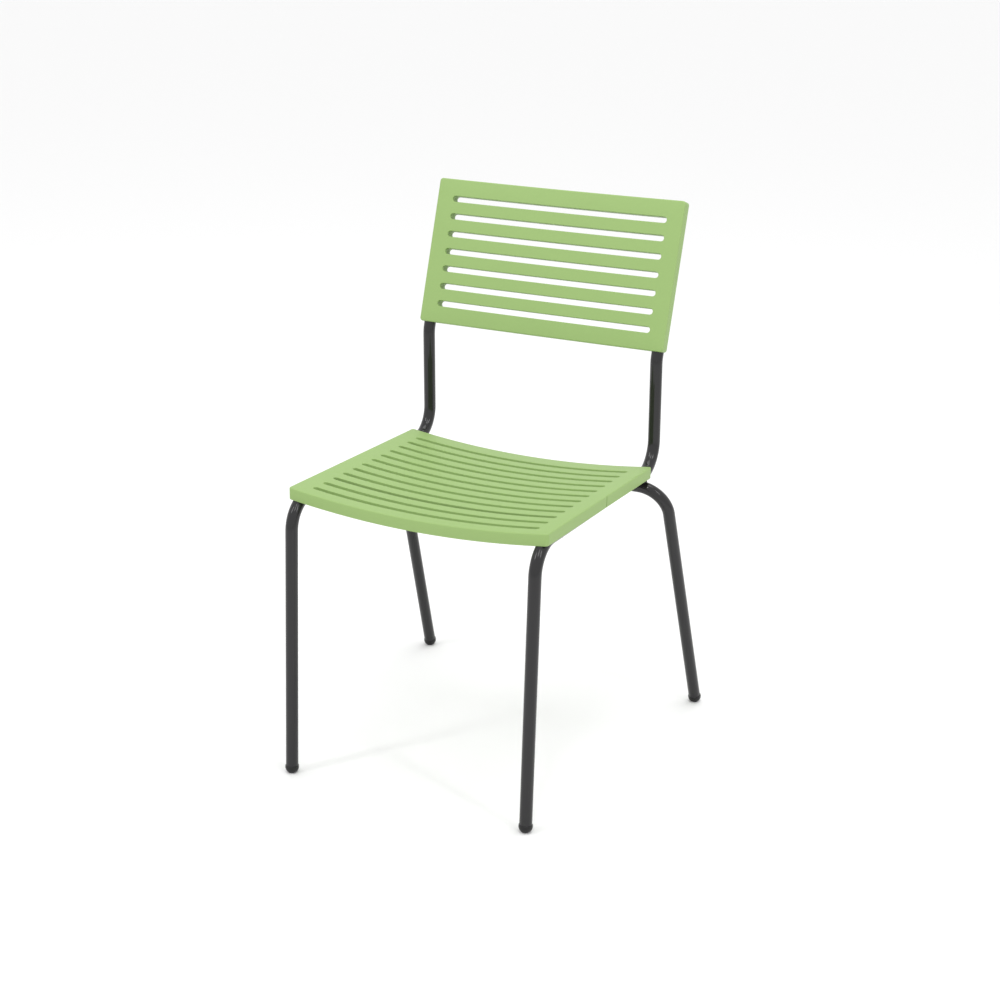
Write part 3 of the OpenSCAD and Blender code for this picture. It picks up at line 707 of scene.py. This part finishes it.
cut(seat_skin, seat_grooves)
cut(back_skin, back_notches)
cut(seat_skin, seat_notches, seat_place.inverted())
add_behind(seat_skin, seat, rows_of(seat, (0, 4, 6, 8, 10)), rail_below_seat,
           seat_rows, boss_in["seat"])
add_behind(back_skin, back, rows_of(back, range(back["slots"])), lambda y: -tube_depth(back),
           back_rows, boss_in["back"])
for piece, place, node in ((seat_skin, seat_place, "seat_shell"),
                           (back_skin, back_place, "back_shell")):
    one_finish(piece, green_moulding)
    piece.data.transform(place)
    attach(piece, "root")
    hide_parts(node)

# %% [markdown]
# ## Screws and washers
# Four screws hold the seat to its tabs, and four hold the clips of the back. A screw's
# head is a turned shape with a six-sided socket. It is made once, and the tree puts a
# copy at each hole.

# %% Turned shapes and the fastener recipe
def turned(work, profile, place=Matrix(), steps=36, socket=()):
    """Turns (radius, height) pairs round Z. The rows in socket are six-sided."""
    rings, flat = [], math.pi / 6
    for row, (r, z) in enumerate(profile):
        ring = []
        for i in range(steps):
            a = 2 * math.pi * i / steps
            six = math.cos(flat) / math.cos((a % (math.pi / 3)) - flat) if row in socket else 1
            point = Vector((r * six * math.cos(a), r * six * math.sin(a), z)) * MM
            ring.append(work.verts.new(place @ point))
        rings.append(ring)
    for low, high in zip(rings, rings[1:]):
        for i in range(steps):
            j = (i + 1) % steps
            work.faces.new((low[i], low[j], high[j], high[i]))
    work.faces.new(rings[0][::-1])
    work.faces.new(rings[-1])

def fastener_recipe():
    r = Recipe("fasteners", [("Turn", "Float", 0.4), ("Material", "Material", None)])
    spin = r.add("ShaderNodeCombineXYZ", {"Z": r.given("Turn")})
    placed = r.add("GeometryNodeInstanceOnPoints", {
        "Points": r.part(1), "Instance": r.part(2), "Rotation": spin.outputs[0]})
    return r.finish(placed.outputs[0], crease=35)

fasteners = fastener_recipe()
head = [(1.55, -0.9), (1.6, -2.5), (1.75, -2.8), (2.6, -2.75), (3.4, -2.3), (3.85, -1.5),
        (4.0, -0.6), (4.0, 0.0), (2.0, 0.0), (2.0, 8.0)]
washer = [(2.15, -1.0), (5.2, -1.0), (5.5, -0.75), (5.5, -0.25), (5.2, 0.0), (2.15, 0.0)]

def fastener_piece(name, node, rows, z, profile, place, socket=()):
    spots = [(1, [(side * boss_x, y, z)], False) for side in (-1, 1) for y in rows]
    piece = sketch(name, spots, [(2, lambda work: turned(work, profile, socket=socket))])
    grow(fasteners, piece, material=zinc)
    piece.data.transform(place)
    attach(piece, "root")
    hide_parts(node)

tab_t, washer_t, socket_rows = 2.5, 1, (0, 1)
tab_face, clip_face = boss_in["seat"] - tab_t, boss_in["back"] - tab_t
fastener_piece("seat_screw_set", "seat_screws", seat_rows, tab_face - washer_t, head, seat_place,
               socket_rows)
fastener_piece("back_screw_set", "back_screws", back_rows, clip_face, head, back_place,
               socket_rows)
fastener_piece("seat_washer_set", "seat_washers", seat_rows, tab_face, washer, seat_place)

# %% [markdown]
# ## Plugs and glides
# The upper ends of the uprights are closed by low domed plugs, hidden behind the back.
# Each leg stands on a nylon glide: a ball-shaped foot with a flat under it, and a short
# collar that meets the end of the tube from below.

# %% Plugs and glides
def turned_piece(name, node, material, profile, place, floor=None):
    work = bmesh.new()
    turned(work, profile, place, steps=48)
    if floor is not None:
        for v in work.verts:
            v.co.z = max(v.co.z, floor)
    mesh = bpy.data.meshes.new(name)
    work.to_mesh(mesh)
    work.free()
    piece = bpy.data.objects.new(name, mesh)
    bpy.context.scene.collection.objects.link(piece)
    tidy(piece)
    for face in mesh.polygons:
        face.use_smooth = True
    mesh.materials.append(material)
    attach(piece, "root")
    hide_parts(node)
    print(name, len(mesh.polygons), "faces")

stay_top = (back["length"] - stay_drop - (back_height - bend_z) / math.cos(back_lean)
            + tube_depth(back) * math.tan(back_lean))
plug = [(7.6, -12), (7.9, -11), (7.9, 0), (9.3, 0), (9.3, 0.9), (9.0, 1.4), (8.0, 1.75),
        (5.0, 1.95), (0.5, 2.0)]
glide_r, glide_h = 10.5, 9.0
for side, word in ((-1, "left"), (1, "right")):
    spot = Matrix.Translation(Vector((side * frame_half, stay_top, -tube_depth(back))) * MM)
    turned_piece(f"{word}_plug", f"{word}_upright_plug", black_nylon, plug,
                 back_place @ spot @ Matrix.Rotation(-math.pi / 2, 4, "X"))
    for end, foot, axis in (
            ("front", (side * frame_half, front_y + glide_h * lean), Vector((0, lean, 1))),
            ("rear", (side * (rear_track / 2 - rear_flare * glide_h), rear_y - glide_h * splay),
             Vector((-side * rear_flare, -splay, 1)))):
        reach = (tube_start - glide_h) * axis.length
        ball = [(glide_r * math.sin(a), -glide_r * math.cos(a))
                for a in (math.radians(3 + 6.6 * i) for i in range(15))]
        collar = [(10.3, 1.9), (10.3, reach - 0.6), (10.1, reach - 0.2), (9.7, reach), (0.5, reach)]
        aim = axis.to_track_quat("Z", "Y").to_matrix().to_4x4()
        spot = Matrix.Translation(Vector((*foot, glide_h)) * MM)
        turned_piece(f"{end}_{word}_foot", f"{end}_{word}_glide", glide_nylon,
                     ball + collar, spot @ aim, floor=0.0)

# %% [markdown]
# The small flat and clipped pieces already have the right shape in the CAD model. They
# stay as they are and only get their finish.

# %% Finishes of the pieces that stay
kept = {powder_coat: [f"{a}_{b}_seat_tab" for a in ("front", "rear") for b in ("left", "right")],
        black_nylon: [f"{a}_{b}_back_clip" for a in ("upper", "lower") for b in ("left", "right")],
        pad_rubber: ["left_stacking_pad", "right_stacking_pad"]}
for material, names in kept.items():
    for name in names:
        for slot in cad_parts[name].material_slots:
            slot.material = material
print("kept from the CAD model:", sum(len(names) for names in kept.values()))

# %% [markdown]
# ## Studio
# A pale floor, a white surround, one broad soft light from above and three narrow
# lamps. The narrow lamps put the thin bright streaks on the bends of the tubes.

# %% Floor and lights
floor_mesh = bpy.data.meshes.new("floor")
far = 60
floor_mesh.from_pydata([(-far, -far, 0), (far, -far, 0), (far, far, 0), (-far, far, 0)],
                       [], [(0, 1, 2, 3)])
floor = bpy.data.objects.new("floor", floor_mesh)
bpy.context.scene.collection.objects.link(floor)
paper = bpy.data.materials.new("white paper")
paper.use_nodes = True
for label, value in (("Base Color", (0.9, 0.9, 0.9, 1)), ("Roughness", 0.9),
                     ("Specular IOR Level", 0.1)):
    paper.node_tree.nodes["Principled BSDF"].inputs[label].default_value = value
floor_mesh.materials.append(paper)

def soft_light(name, at, aim, width, height, power):
    data = bpy.data.lights.new(name, "AREA")
    data.shape, data.size, data.size_y, data.energy = "RECTANGLE", width, height, power
    lamp = bpy.data.objects.new(name, data)
    bpy.context.scene.collection.objects.link(lamp)
    lamp.location = at
    lamp.rotation_euler = (Vector(aim) - Vector(at)).to_track_quat("-Z", "Y").to_euler()
    return lamp

middle, narrow, tall = (0, 0, 0.45), 0.2, 1.1
lamps = [soft_light("left lamp", (-1.3, -1.9, 2.7), middle, narrow, tall, 11),
         soft_light("right lamp", (2.2, -1.0, 2.4), middle, narrow, tall, 9),
         soft_light("high lamp", (0.6, -1.6, 3.0), middle, narrow, tall, 9),
         soft_light("top light", (0.2, 0.3, 3.0), middle, 1.6, 1.6, 20)]
world = bpy.data.worlds.new("studio")
bpy.context.scene.world = world
world.use_nodes = True
world.node_tree.nodes["Background"].inputs["Color"].default_value = (1, 1, 1, 1)
world.node_tree.nodes["Background"].inputs["Strength"].default_value = 1.06
bpy.context.scene.view_settings.view_transform = "Standard"
print("lamps:", [(lamp.name, lamp.data.energy) for lamp in lamps])
